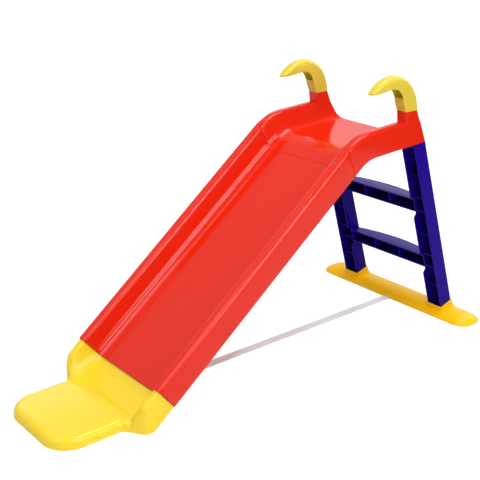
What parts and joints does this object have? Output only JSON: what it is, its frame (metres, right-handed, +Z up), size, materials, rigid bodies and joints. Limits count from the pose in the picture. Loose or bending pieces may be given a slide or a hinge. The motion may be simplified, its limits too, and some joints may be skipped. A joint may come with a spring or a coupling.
{
  "type": "toddler slide with ladder",
  "caption": "Free-standing toddler's slide of moulded plastic: red chute, yellow run-out and hook grips, blue ladder with bowed treads and a yellow base bar.",
  "frame": {"origin": "centre of the bounding box at floor level", "axes": "+X from the run-out to the ladder, +Y to the slide's left side, +Z up from the floor"},
  "size_m": [1.419, 0.629, 0.7949],
  "materials": {
    "red_plastic": "glossy moulded polypropylene",
    "yellow_plastic": "glossy moulded polypropylene",
    "indigo_plastic": "glossy moulded polypropylene",
    "strap_plastic": "satin flat strap",
    "zinc_steel": "zinc-plated screws"
  },
  "bodies": {
    "root": {"upper_chute": "red_plastic", "lower_chute": "red_plastic", "landing": "yellow_plastic", "handle_left": "yellow_plastic", "handle_right": "yellow_plastic", "ladder": "indigo_plastic", "base_bar": "yellow_plastic", "tie_strap": "strap_plastic", "seam_screw_left": "zinc_steel", "seam_screw_right": "zinc_steel", "post_screw_left": "zinc_steel", "post_screw_right": "zinc_steel", "grip_screw_left": "zinc_steel", "grip_screw_right": "zinc_steel", "landing_screw_left": "zinc_steel", "landing_screw_right": "zinc_steel", "foot_screw_left": "zinc_steel", "foot_screw_right": "zinc_steel", "strap_screw_front": "zinc_steel", "strap_screw_rear": "zinc_steel"}
  },
  "joints": []
}
